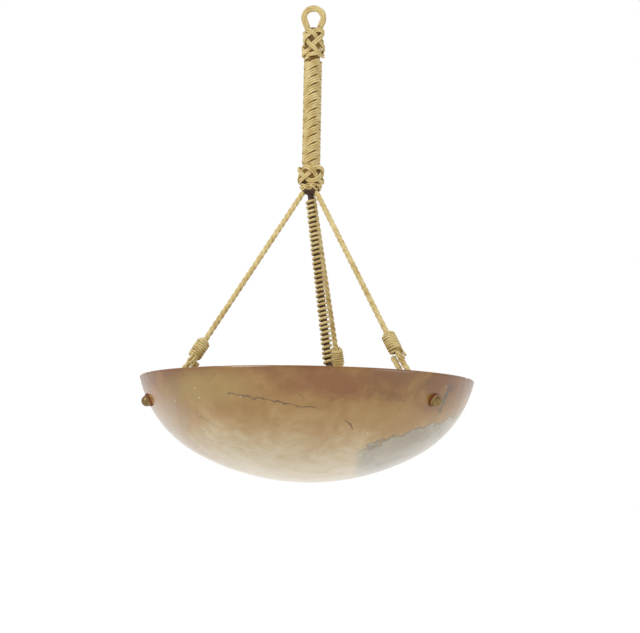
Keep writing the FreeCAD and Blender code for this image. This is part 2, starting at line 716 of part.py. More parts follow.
def lamp_frame(along):
    """Placement on the flex's axis, +Z down the flex, at this distance from the lower knot."""
    slant = math.radians(size("flex_slant"))
    down = Vector(math.sin(slant), 0, -math.cos(slant))
    return Placement(Vector(0, 0, LOWER_KNOT_FOOT) + down * along,
                     Rotation(Vector(0, 1, 0), 180 - size("flex_slant")))


def flex_length():
    """Expression for the flex from the lower knot to the grip.

    The bulb's ball stops the clearance short of the bowl's hollow side, which is a
    sphere there, so the ball's centre lies on a sphere of its own.  The flex ends
    above that centre by the grip, the lampholder and the bulb's cap and neck.
    """
    over = ("(Sizes.swivel_height + Sizes.bowl_depth - Sizes.swivel_radius"
            " - Sizes.bowl_bottom_radius)")
    room = ("(Sizes.bowl_bottom_radius - Sizes.bowl_wall - Sizes.bulb_clearance"
            " - Sizes.bulb_width / 2)")
    ball_centre = (f"({over} * cos(Sizes.flex_slant)"
                   f" + sqrt({room} ^ 2 - ({over} * sin(Sizes.flex_slant)) ^ 2))")
    holder = ("(Sizes.grip_height - Sizes.grip_seat + Sizes.cap_height"
              " + Sizes.shell_height - Sizes.insert_height + Sizes.insert_drop"
              " + Sizes.insert_floor + Sizes.contact_height + Sizes.contact_gap)")
    bulb = ("(Sizes.bulb_cap_height - Sizes.bulb_neck_seat + Sizes.bulb_neck_height"
            " + sqrt(Sizes.bulb_width ^ 2 - Sizes.bulb_neck_width ^ 2) / 2)")
    return f"({ball_centre} - {holder} - {bulb})"


def make_flex():
    """The flex below the lower knot, with a rounded top in its bore, and the cord round it."""
    flex = "Sizes.flex_diameter / 2"
    turned("flex_drop", [
        ("0", "0", flex, 1),
        (flex, flex),
        (flex, f"{flex} + {flex_length()} + Sizes.flex_inside"),
        ("0", f"{flex} + {flex_length()} + Sizes.flex_inside"),
    ], lamp_frame(-size("flex_diameter") / 2))

    wire = size("winding_wire")
    radius = size("flex_diameter") / 2 + size("fit_play") + wire / 2
    turns = size("winding_turns")
    run = worked(flex_length()) - size("winding_start") - size("winding_end_gap") - wire
    pitch = run / turns
    coils = winding_edges(radius, pitch, turns, 1)
    print(f"flex winding: least gap {least_gap(coils, wire):.2f} mm")
    first, first_way = helix_point(radius, pitch, 0.0, 1)
    last, last_way = helix_point(radius, pitch, 2 * math.pi * turns, 1)
    path = ([Part.LineSegment(first - first_way * wire, first).toShape()] + coils
            + [Part.LineSegment(last, last + last_way * wire).toShape()])
    shaped("flex_winding", tube(path, wire),
           lamp_frame(size("winding_start") + wire / 2))


def make_lampholder():
    """Cord grip, cap, skirt, porcelain, sleeve, contact and bulb, down the flex's axis."""
    bore = "(Sizes.flex_diameter / 2 + Sizes.fit_play)"
    rim = "(Sizes.holder_width / 2)"
    sheet_in = "(Sizes.holder_width / 2 - Sizes.holder_sheet)"
    grip_stem = "(Sizes.grip_width / 2 - Sizes.grip_step)"
    grip_top = worked(flex_length())
    turned("cord_grip", [
        (bore, "0"),
        ("Sizes.grip_width / 2 - Sizes.grip_round", "0", "Sizes.grip_round", -1),
        ("Sizes.grip_width / 2", "Sizes.grip_round"),
        ("Sizes.grip_width / 2", "Sizes.grip_height - Sizes.grip_seat"),
        (grip_stem, "Sizes.grip_height - Sizes.grip_seat"),
        (grip_stem, "Sizes.grip_height"),
        (bore, "Sizes.grip_height"),
    ], lamp_frame(grip_top))

    cap_top = grip_top + size("grip_height") - size("grip_seat")
    grip_hole = f"({grip_stem} + Sizes.fit_play)"
    neck = "(Sizes.cap_neck_width / 2)"
    turned("lampholder_cap", [
        (grip_hole, "0"),
        (neck, "0"),
        (neck, "Sizes.cap_neck_height", "Sizes.cap_round", -1),
        (rim, "Sizes.cap_height"),
        (sheet_in, "Sizes.cap_height", "Sizes.cap_round - Sizes.holder_sheet", 1),
        (f"{neck} - Sizes.holder_sheet", "Sizes.cap_neck_height + Sizes.holder_sheet"),
        (f"{neck} - Sizes.holder_sheet", "2 * Sizes.holder_sheet"),
        (grip_hole, "2 * Sizes.holder_sheet"),
    ], lamp_frame(cap_top))

    shell_top = cap_top + size("cap_height")
    bead = "Sizes.shell_height - Sizes.bead_height"
    bead_round = ("(Sizes.bead_height ^ 2 / 4 + Sizes.bead_stand ^ 2)"
                  " / (2 * Sizes.bead_stand)")
    turned("lampholder_shell", [
        (sheet_in, "0"),
        (rim, "0"),
        (rim, bead, bead_round, -1),
        (rim, "Sizes.shell_height"),
        (sheet_in, "Sizes.shell_height"),
    ], lamp_frame(shell_top))

    insert_top = shell_top + size("shell_height") - size("insert_height") + size("insert_drop")
    body = "(Sizes.holder_width / 2 - Sizes.holder_sheet - Sizes.fit_play)"
    sleeve_out = "(Sizes.sleeve_bore / 2 + Sizes.sleeve_sheet)"
    pocket = f"({sleeve_out} + Sizes.fit_play)"
    turned("porcelain_insert", [
        ("0", "0"),
        (body, "0"),
        (body, "Sizes.insert_height"),
        (pocket, "Sizes.insert_height"),
        (pocket, "Sizes.insert_floor"),
        ("0", "Sizes.insert_floor"),
    ], lamp_frame(insert_top))

    floor = insert_top + size("insert_floor")
    turned("thread_sleeve", [
        ("Sizes.sleeve_bore / 2", "0"),
        (sleeve_out, "0"),
        (sleeve_out, "Sizes.sleeve_height"),
        ("Sizes.sleeve_bore / 2", "Sizes.sleeve_height"),
    ], lamp_frame(floor))
    turned("centre_contact", [
        ("0", "0"),
        ("Sizes.contact_width / 2", "0"),
        ("Sizes.contact_width / 2", "Sizes.contact_height / 2", "Sizes.contact_height / 2", -1),
        ("Sizes.contact_width / 2 - Sizes.contact_height / 2", "Sizes.contact_height"),
        ("0", "Sizes.contact_height"),
    ], lamp_frame(floor))

    tip = floor + size("contact_height") + size("contact_gap")
    screw = "Sizes.bulb_cap_width / 2"
    turned("bulb_cap", [
        ("0", "0"),
        ("Sizes.bulb_tip_width / 2 - 1", "0", "1", -1),
        ("Sizes.bulb_tip_width / 2", "1"),
        (screw, "Sizes.bulb_tip_height"),
        (screw, "Sizes.bulb_cap_height"),
        (f"{screw} - Sizes.bulb_cap_sheet", "Sizes.bulb_cap_height"),
        (f"{screw} - Sizes.bulb_cap_sheet", "Sizes.bulb_tip_height + Sizes.bulb_cap_sheet"),
        ("0", "Sizes.bulb_tip_height + Sizes.bulb_cap_sheet"),
    ], lamp_frame(tip))
    neck_glass = "(Sizes.bulb_neck_width / 2)"
    ball = "(Sizes.bulb_width / 2)"
    middle = f"(Sizes.bulb_neck_height + sqrt({ball} ^ 2 - {neck_glass} ^ 2))"
    neck_inside = f"({neck_glass} - Sizes.bulb_wall)"
    ball_inside = f"({ball} - Sizes.bulb_wall)"
    neck_top = f"{middle} - sqrt({ball_inside} ^ 2 - {neck_inside} ^ 2)"
    turned("bulb_glass", [
        (neck_inside, "0"),
        (neck_glass, "0"),
        (neck_glass, "Sizes.bulb_neck_height", ball, -1),
        (ball, middle, ball, -1),
        ("0", f"{middle} + {ball}"),
        ("0", f"{middle} + {ball_inside}", ball_inside, 1),
        (ball_inside, middle, ball_inside, 1),
        (neck_inside, neck_top),
    ], lamp_frame(tip + size("bulb_cap_height") - size("bulb_neck_seat")))


# ---------------------------------------------------------------- making and checking

make_eye_and_upper_knot()
make_braid_and_lower_knot()
make_bowl()
for each_name, _, _ in SUSPENSIONS:
    make_suspension(each_name)
make_flex()
make_lampholder()
doc.recompute()

NODES = ["hanging_loop", "upper_collar_knot", "main_braid", "braid_flex",
         "lower_collar_knot", "alabaster_bowl"]
for each_name, _, _ in SUSPENSIONS:
    NODES += [each_name + "_" + piece for piece in (
        "cord", "lashing", "eye_bolt", "inside_washer", "outside_washer", "dome_nut")]
NODES += ["flex_drop", "flex_winding", "cord_grip", "lampholder_cap", "lampholder_shell",
          "porcelain_insert", "thread_sleeve", "centre_contact", "bulb_cap", "bulb_glass"]


def check_document():
    """Stops if any object failed, or any piece has no sound shape."""
    for thing in doc.Objects:
        if {"Invalid", "Error"} & set(thing.State):
            raise RuntimeError(f"{thing.Label} failed: {thing.State}")
    for label in NODES:
        shape = doc.getObjectsByLabel(label)[0].Shape
        if shape.isNull() or not shape.isValid() or shape.Volume <= 0:
            raise RuntimeError(f"{label} has no sound shape")


def write_parts():
    """One STEP file for each piece, named after it."""
    os.makedirs("parts", exist_ok=True)
    for label in NODES:
        shape = doc.getObjectsByLabel(label)[0].Shape
        shape.exportStep(f"parts/{label}.step")
        print(f"{label}: {len(shape.Solids)} solid, {shape.Volume / 1000:.2f} cm3")


check_document()
write_parts()
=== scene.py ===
# %% [markdown]
# # An alabaster bowl pendant
#
# A honey-coloured stone bowl hangs by three silk cords from a plaited collar.
# A round braid carries the collar, and a wrapped knot with a rope eye carries the braid.
# The rope work is what the eye goes to first, so every strand of it is drawn here.
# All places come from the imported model, which stays the fixed frame of the scene.

import math

import bpy
import mathutils
import numpy as np
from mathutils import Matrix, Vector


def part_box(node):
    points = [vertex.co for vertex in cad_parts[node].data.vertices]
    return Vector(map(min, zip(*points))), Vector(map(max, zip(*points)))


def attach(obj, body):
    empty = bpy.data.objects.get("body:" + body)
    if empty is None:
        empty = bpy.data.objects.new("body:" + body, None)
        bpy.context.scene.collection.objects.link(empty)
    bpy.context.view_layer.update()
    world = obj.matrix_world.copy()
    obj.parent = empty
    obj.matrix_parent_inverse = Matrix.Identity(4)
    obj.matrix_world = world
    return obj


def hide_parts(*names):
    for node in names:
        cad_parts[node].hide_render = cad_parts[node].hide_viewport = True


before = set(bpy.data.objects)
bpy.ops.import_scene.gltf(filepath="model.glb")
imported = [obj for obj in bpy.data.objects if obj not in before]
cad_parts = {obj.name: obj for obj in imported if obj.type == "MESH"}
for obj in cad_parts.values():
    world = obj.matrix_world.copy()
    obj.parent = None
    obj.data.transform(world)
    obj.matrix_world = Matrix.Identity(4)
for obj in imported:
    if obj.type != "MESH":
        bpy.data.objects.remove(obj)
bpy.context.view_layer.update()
MM = 0.001

# %% [markdown]
# ## Places on the object
#
# Everything hangs on one upright axis, the Z axis, with the hook at the origin.
# The heights of the knots, the rim and the bottom are read from the boxes of their nodes,
# so that this scene follows the model if a length changes.

# %% Heights and directions
def height_of(node):
    """Foot and top of a node, in metres."""
    low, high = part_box(node)
    return low[2], high[2]


UPPER_KNOT_FOOT, UPPER_KNOT_TOP = height_of("upper_collar_knot")
COLLAR_TOP = height_of("lower_collar_knot")[1]
BOWL_BOTTOM, RIM = height_of("alabaster_bowl")
RIM_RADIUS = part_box("alabaster_bowl")[1][0]
BOWL_DEPTH = RIM - BOWL_BOTTOM
COLLAR_HEIGHT = 31.5 * MM
COLLAR_FOOT = COLLAR_TOP - COLLAR_HEIGHT
SWIVEL_RADIUS = 15.5 * MM
SWIVEL = COLLAR_FOOT + SWIVEL_RADIUS

# name, azimuth of its hole from +X in degrees, middle of its lashing above the eye
SUSPENSIONS = [
    ("rear", 73, 58 * MM),
    ("left", 194, 50 * MM),
    ("front", 319, 56 * MM),
]
print(f"rim at {RIM / MM:.1f} mm, bottom at {BOWL_BOTTOM / MM:.1f} mm, "
      f"collar from {COLLAR_TOP / MM:.1f} to {COLLAR_FOOT / MM:.1f} mm")

# %% [markdown]
# ## The camera
#
# The photograph looks slightly up at the bowl from 1.5 m in front of it.
# The lens was worked out from the width of the rim's ellipse and how open it looks,
# and the small roll from the lean of the cords.

# %% The camera
CAMERA_DISTANCE = 1.5
CAMERA_BELOW_RIM = 0.1194
CAMERA_ASIDE = 0.01237
PITCH_UP = math.radians(7.116)
ROLL = math.radians(1.0)
LENS = 80.32
SENSOR = 36

camera = bpy.data.objects.new("camera", bpy.data.cameras.new("camera"))
bpy.context.scene.collection.objects.link(camera)
camera.data.sensor_width = SENSOR
camera.data.lens = LENS
camera.location = (CAMERA_ASIDE, -CAMERA_DISTANCE, RIM - CAMERA_BELOW_RIM)
camera.rotation_euler = (math.radians(90) + PITCH_UP, 0, 0)
camera.rotation_mode = "QUATERNION"
unrolled = camera.rotation_euler.to_quaternion()
camera.rotation_quaternion = unrolled @ mathutils.Quaternion((0, 0, 1), ROLL)
bpy.context.scene.camera = camera
print(f"camera {CAMERA_DISTANCE} m away, lens {LENS} mm")

# %% [markdown]
# ## From arrays to a piece
#
# Each new piece is a surface worked out with numpy.
# A grid of points has rows along the shape and columns round it, and a few lines
# of index arithmetic give its faces, so one function serves the bowl and the ropes.
# Every piece says which body it moves with and which node of the model it stands for.

# %% Grids of faces
def grid_faces(rows, columns):
    """Four-cornered faces between neighbouring rows; the columns close in a ring.

    Corner (i, j) of the grid has the number i * columns + j.
    """
    i, j = np.meshgrid(np.arange(rows - 1), np.arange(columns), indexing="ij")
    beside = (j + 1) % columns
    corners = [i * columns + j, i * columns + beside,
               (i + 1) * columns + beside, (i + 1) * columns + j]
    return np.stack(corners, axis=-1).reshape(-1, 4).tolist()


def closed_rings(rings, first_pole, last_pole):
    """Points and faces of rings in a row, shut at each end by a fan to a pole."""
    count, columns = rings.shape[:2]
    j = np.arange(columns)
    beside = (j + 1) % columns
    base = (count - 1) * columns
    pole = np.full(columns, count * columns)
    fans = np.concatenate([np.stack([pole, beside, j], axis=1),
                           np.stack([pole + 1, base + j, base + beside], axis=1)])
    points = np.concatenate([rings.reshape(-1, 3), [first_pole, last_pole]])
    return points, grid_faces(count, columns) + fans.tolist()


def new_piece(name, shapes, material, body, stands_for=()):
    """One smooth mesh from a list of (points, faces), which rides on a body."""
    starts = np.cumsum([0] + [len(points) for points, _ in shapes])
    points = np.concatenate([points for points, _ in shapes])
    faces = [[corner + start for corner in face]
             for (_, some), start in zip(shapes, starts.tolist()) for face in some]
    mesh = bpy.data.meshes.new(name)
    mesh.from_pydata(points, [], faces)
    mesh.shade_smooth()
    mesh.materials.append(material)
    piece = bpy.data.objects.new(name, mesh)
    bpy.context.scene.collection.objects.link(piece)
    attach(piece, body)
    if stands_for:
        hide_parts(*stands_for)
    print(f"{name}: {len(mesh.vertices)} points, {len(mesh.polygons)} faces")
    return piece


# %% [markdown]
# ## Strands
#
# Silk cord is a bundle of thin round strands, so the strand is what all else is tied from.
# A strand is a circle carried along a path. So that it doesn't twist on the way, each point
# of the path has a direction that points out of the rope that the strand is laid in.

# %% A strand as a swept circle
DOME = 0.7


def swept(path, outward, radius, sides=8):
    """Points and faces of one closed tube along a path.

    With the centre line p(s), its unit direction d(s) and the outward side n(s) made
    square to d, a surface point is p + r * (n * cos a + (d x n) * sin a).
    Each end closes in a dome: a ring of 0.7 r, pushed out by 0.35 r, and a pole at 0.7 r.
    """
    path = np.asarray(path, float)
    way = np.gradient(path, axis=0)
    way /= np.linalg.norm(way, axis=1, keepdims=True)
    side = outward - way * np.sum(outward * way, axis=1, keepdims=True)
    side /= np.linalg.norm(side, axis=1, keepdims=True)
    other = np.cross(way, side)
    angles = np.linspace(0, 2 * math.pi, sides, endpoint=False)[None, :, None]
    ring = side[:, None, :] * np.cos(angles) + other[:, None, :] * np.sin(angles)
    radius = np.broadcast_to(np.asarray(radius, float), (len(path),))
    body = path[:, None, :] + ring * radius[:, None, None]
    head = path[0] - way[0] * radius[0] * DOME / 2 + ring[0] * radius[0] * DOME
    tail = path[-1] + way[-1] * radius[-1] * DOME / 2 + ring[-1] * radius[-1] * DOME
    rings = np.concatenate([head[None], body, tail[None]])
    return closed_rings(rings, path[0] - way[0] * radius[0] * DOME,
                        path[-1] + way[-1] * radius[-1] * DOME)


def turned_shape(profile, columns):
    """A surface turned about the upright: the profile's ends lie on the axis.

    Point (i, j) is (r_i * cos a_j, r_i * sin a_j, z_i).
    """
    profile = np.asarray(profile, float)
    angles = np.linspace(0, 2 * math.pi, columns, endpoint=False)
    rings = np.stack([np.outer(profile[1:-1, 0], np.cos(angles)),
                      np.outer(profile[1:-1, 0], np.sin(angles)),
                      np.repeat(profile[1:-1, 1:], columns, axis=1)], axis=-1)
    return closed_rings(rings, np.array([0, 0, profile[0, 1]]),
                        np.array([0, 0, profile[-1, 1]]))


def evenly(path, step):
    """The path again, with its points a steady step apart, and how far along each lies.

    Each coordinate is interpolated over s, the summed length of the path's chords.
    """
    path = np.asarray(path, float)
    along = np.concatenate([[0], np.cumsum(np.linalg.norm(np.diff(path, axis=0), axis=1))])
    even = np.linspace(0, along[-1], max(int(along[-1] / step), 4) + 1)
    return np.stack([np.interp(even, along, path[:, axis]) for axis in range(3)], axis=1), even


STRAND_STEP = 1.2 * MM


def laid_strands(path, steady, count, offset, lay, radius, sides=8):
    """Strands laid round a path: strand k runs at offset * (n * cos w + (d x n) * sin w).

    w = 2 pi * (s / lay + k / count), so a negative lay winds to the left (an S lay).
    The steady direction is square to the plane of the path and keeps the frame from turning.
    """
    path, along = evenly(path, STRAND_STEP)
    way = np.gradient(path, axis=0)
    way /= np.linalg.norm(way, axis=1, keepdims=True)
    side = np.cross(np.asarray(steady, float), way)
    side /= np.linalg.norm(side, axis=1, keepdims=True)
    other = np.cross(way, side)
    shapes = []
    for number in range(count):
        angle = 2 * math.pi * (along / lay + number / count)[:, None]
        out = side * np.cos(angle) + other * np.sin(angle)
        shapes.append(swept(path + out * offset, out, radius, sides))
    return shapes


print("a strand of 8 sides and 100 rings has", len(swept(
    np.linspace((0, 0, 0), (0, 0, 1), 100), np.tile((1.0, 0, 0), (100, 1)), 0.1)[1]), "faces")

# %% [markdown]
# ## Materials
#
# Each material starts from the real one and its usual values: how rough it is, whether it
# is a metal, and how it bends light. Colours are written as sRGB values, as a designer
# picks them, and one function turns them to the linear values that the shader wants.
# Patterns are scaled by real sizes in millimetres.

# %% Colours and nodes
def colour(hex_value):
    """Linear RGBA of an sRGB hex value: c / 12.92 below 0.04045, else ((c + .055) / 1.055)^2.4."""
    channels = np.array([int(hex_value[i:i + 2], 16) for i in (1, 3, 5)]) / 255
    linear = np.where(channels <= 0.04045, channels / 12.92, ((channels + 0.055) / 1.055) ** 2.4)
    return (*linear.tolist(), 1.0)


def add(material, kind, settings=None, **inputs):
    """Adds a node: settings are its properties, and inputs are sockets, values or links."""
    tree = material.node_tree
    node = tree.nodes.new("ShaderNode" + kind)
    for name, value in (settings or {}).items():
        setattr(node, name, value)
    for name, value in inputs.items():
        socket = node.inputs[int(name[1:])] if name[1:].isdigit() else node.inputs[
            name.replace("_", " ")]
        if isinstance(value, bpy.types.NodeSocket):
            tree.links.new(value, socket)
        else:
            socket.default_value = value
    return node


def new_material(name, roughness, metallic=0.0, **values):
    """A material with its own shader at constant values; returns both."""
    material = bpy.data.materials.new(name)
    material.use_nodes = True
    shader = material.node_tree.nodes["Principled BSDF"]
    shader.inputs["Roughness"].default_value = roughness
    shader.inputs["Metallic"].default_value = metallic
    for socket, value in values.items():
        shader.inputs[socket.replace("_", " ")].default_value = value
    return material, shader


def ramp(material, factor, stops):
    """A colour ramp through (position, sRGB hex) stops."""
    node = add(material, "ValToRGB", None, Fac=factor)
    elements = node.color_ramp.elements
    while len(elements) < len(stops):
        elements.new(0.5)
    for element, (position, hex_value) in zip(elements, stops):
        element.position = position
        element.color = colour(hex_value)
    return node.outputs["Color"]


def noise(material, place, size, detail=3.0, rough=0.5, distort=0.0):
    """Noise whose blotches are about this size, in metres."""
    return add(material, "TexNoise", None, Vector=place, Scale=1 / size, Detail=detail,
               Roughness=rough, Distortion=distort).outputs["Fac"]


def bumped(material, shader, height, depth):
    """Lets a height pattern tilt the surface; depth is in metres."""
    bump = add(material, "Bump", None, Height=height, Distance=depth, Strength=1.0)
    material.node_tree.links.new(bump.outputs["Normal"], shader.inputs["Normal"])


def place_of(material):
    """Coordinates of the object itself, in metres."""
    return add(material, "TexCoord").outputs["Object"]


# %% [markdown]
# ## Silk cord
#
# Straw-gold rayon silk, spun in soft strands. It has a satin gleam on the crown of each
# strand, and its gold is a little deeper in some places than in others.

# %% Silk
def silk(name, light, middle, dark, roughness=0.5):
    """Satin yarn: its tone changes in 9 mm blotches, and 0.9 mm noise is its fibre's bump."""
    material, shader = new_material(name, roughness, Sheen_Weight=0.15,
                                    Sheen_Roughness=0.4)
    place = place_of(material)
    tone = noise(material, place, 9 * MM, 2)
    material.node_tree.links.new(ramp(material, tone, [(0.3, dark), (0.5, middle), (0.72, light)]),
                                 shader.inputs["Base Color"])
    bumped(material, shader, noise(material, place, 0.9 * MM, 2), 0.15 * MM)
    return material


SILK = silk("straw_silk", "#E2CF96", "#D3BD80", "#BC9F5C")
# the cores' darker silk is painted shade: the same straw silk as the strands, darkened where it
# shows between them
SILK_IN_PAINTED_SHADE = silk("straw_silk_painted_shade", "#8A6A30", "#785826", "#5E421A", 0.8)
# the brown is the flex sheath's own colour; the collar's underside takes it as painted shade
SHEATH_AND_PAINTED_SHADE = silk("brown_flex_sheath_and_painted_shade", "#5A4030", "#4A3222", "#382416", 0.75)
print("three silks made")

# %% [markdown]
# ## Metal, fibre, porcelain and glass of the fittings
#
# The nuts and eye bolts are brass with a dark bronze finish. The washers are vulcanised
# fibre, the lampholder is lacquered brass with a porcelain insert, and the lamp is opal.

# %% Fittings
def fitting(name, base, worn, roughness, metallic, spot=6 * MM):
    """A fitting's finish: two tones in soft spots, and a faint unevenness of the surface."""
    material, shader = new_material(name, roughness, metallic)
    place = place_of(material)
    spots = noise(material, place, spot, 3)
    material.node_tree.links.new(ramp(material, spots, [(0.35, base), (0.7, worn)]),
                                 shader.inputs["Base Color"])
    bumped(material, shader, noise(material, place, spot / 4, 2), 0.03 * MM)
    return material


DARK_BRONZE = fitting("dark_bronze", "#6E5A3A", "#8C7448", 0.38, 0.9)
FIBRE = fitting("vulcanised_fibre", "#7A3B28", "#8E4A32", 0.7, 0.0)
LAMP_BRASS = fitting("lacquered_brass", "#B8923E", "#C9A450", 0.3, 1.0)
PORCELAIN = fitting("glazed_porcelain", "#EFEBE2", "#F6F3EC", 0.18, 0.0)
BULB_METAL = fitting("nickel_plated_brass", "#B9B4A8", "#CBC7BC", 0.28, 1.0)
OPAL = fitting("opal_glass", "#F2EFE8", "#F7F5F0", 0.12, 0.0, 20 * MM)

FINISHES = {"eye_bolt": DARK_BRONZE, "dome_nut": DARK_BRONZE, "inside_washer": FIBRE,
            "outside_washer": FIBRE, "cord_grip": LAMP_BRASS, "lampholder_cap": LAMP_BRASS,
            "lampholder_shell": LAMP_BRASS, "porcelain_insert": PORCELAIN,
            "thread_sleeve": LAMP_BRASS, "centre_contact": LAMP_BRASS,
            "bulb_cap": BULB_METAL, "bulb_glass": OPAL, "braid_flex": SHEATH_AND_PAINTED_SHADE}
finished = 0
for node_name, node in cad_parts.items():
    for ending, finish in FINISHES.items():
        if node_name.endswith(ending):
            node.data.materials.clear()
            node.data.materials.append(finish)
            finished += 1
print(finished, "nodes of the model have their finish")

# %% [markdown]
# ## Alabaster
#
# Honey alabaster is polished to a soft gloss. Its broad clouds run from orange brown under
# the rim to pale cream at the bottom, crossed by thin dark veins, with a grey cloud low on
# the right. The paling towards the bottom is partly the stone's own tone and partly a painted
# reflection of the pale floor below, and a grey-pink patch on the left flank is partly a painted
# reflection of the white room. The clouds are noise in the stone's own coordinates, warped so that
# they flow.
# The veins that show in front are short wavy lines on the stone, placed one by one.

# %% The stone's tools
def maths(material, operation, first, second=0.0, third=0.0):
    """One step of arithmetic."""
    return add(material, "Math", {"operation": operation},
               _0=first, _1=second, _2=third).outputs[0]


def fade(material, value, start, end):
    """0 before start and 1 after end, smooth between; it falls if end is below start."""
    turn = start > end
    low, high = min(start, end), max(start, end)
    return add(material, "MapRange", {"interpolation_type": "SMOOTHSTEP"}, Value=value,
               From_Min=low, From_Max=high, To_Min=1.0 if turn else 0.0,
               To_Max=0.0 if turn else 1.0).outputs["Result"]


def product(material, *values):
    """All the values multiplied."""
    result = values[0]
    for value in values[1:]:
        result = maths(material, "MULTIPLY", result, value)
    return result


def mixed(material, factor, first, second):
    """One colour over another by a factor; a colour may be a socket or a hex value."""
    node = add(material, "Mix", {"data_type": "RGBA"}, _0=factor)
    for socket, value in ((node.inputs[6], first), (node.inputs[7], second)):
        if isinstance(value, str):
            socket.default_value = colour(value)
        else:
            material.node_tree.links.new(value, socket)
    return node.outputs[2]


# x and drop below the rim of both ends, half width (all in mm), strength, colour
FRONT_VEINS = [
    (-76, 25, -34, 32, 0.5, 0.75, "#54401E"),
    (-36, 32, 12, 39, 0.6, 0.8, "#4E3A1C"),
    (-112, 40, -82, 58, 0.5, 0.4, "#6A5228"),
    (38, 47, 47, 58, 0.7, 0.8, "#5A3A18"),
    (121, 6, 111, 19, 0.6, 0.7, "#5C4A26"),
    (141, 8, 131, 38, 1.5, 0.85, "#4C4A34"),
    (146, 9, 143, 18, 0.9, 0.8, "#4C4A34"),
    (-150, 14, -138, 30, 0.7, 0.45, "#7A5A30"),
    (60, 20, 96, 30, 0.5, 0.45, "#6A4A20"),
]
VEIN_SWAY = 4.5 * MM
VEIN_END = 3 * MM


def vein(material, place, line):
    """How strongly a short wavy line covers each point of the stone's front.

    The line is turned to lie along X: |across + wave| below its half width, and
    0 < along < length, with both ends fading over a few millimetres.
    """
    start_x, start_drop, end_x, end_drop, half_width, strength, _ = line
    run = np.array([end_x - start_x, start_drop - end_drop]) * MM
    length = float(np.linalg.norm(run))
    turn = math.atan2(run[1], run[0])
    moved = add(material, "Mapping", {"vector_type": "TEXTURE"}, Vector=place,
                Location=(start_x * MM, 0, RIM - start_drop * MM),
                Rotation=(0, -turn, 0)).outputs["Vector"]
    parts = add(material, "SeparateXYZ", None, Vector=moved)
    along, depth, across = parts.outputs
    wave = maths(material, "MULTIPLY_ADD", noise(material, place, 11 * MM, 3),
                 2 * VEIN_SWAY, -VEIN_SWAY)
    off = maths(material, "ABSOLUTE", maths(material, "ADD", across, wave))
    cover = fade(material, off, half_width * MM * 1.6, half_width * MM * 0.4)
    ends = product(material, fade(material, along, 0.0, VEIN_END),
                   fade(material, along, length, length - VEIN_END))
    return product(material, cover, ends, fade(material, depth, 0.0, -5 * MM), strength)


# %% The stone
BORDER_CLIMB = 0.37
BORDER_DROP = 95 * MM
BORDER_SWAY = 13 * MM


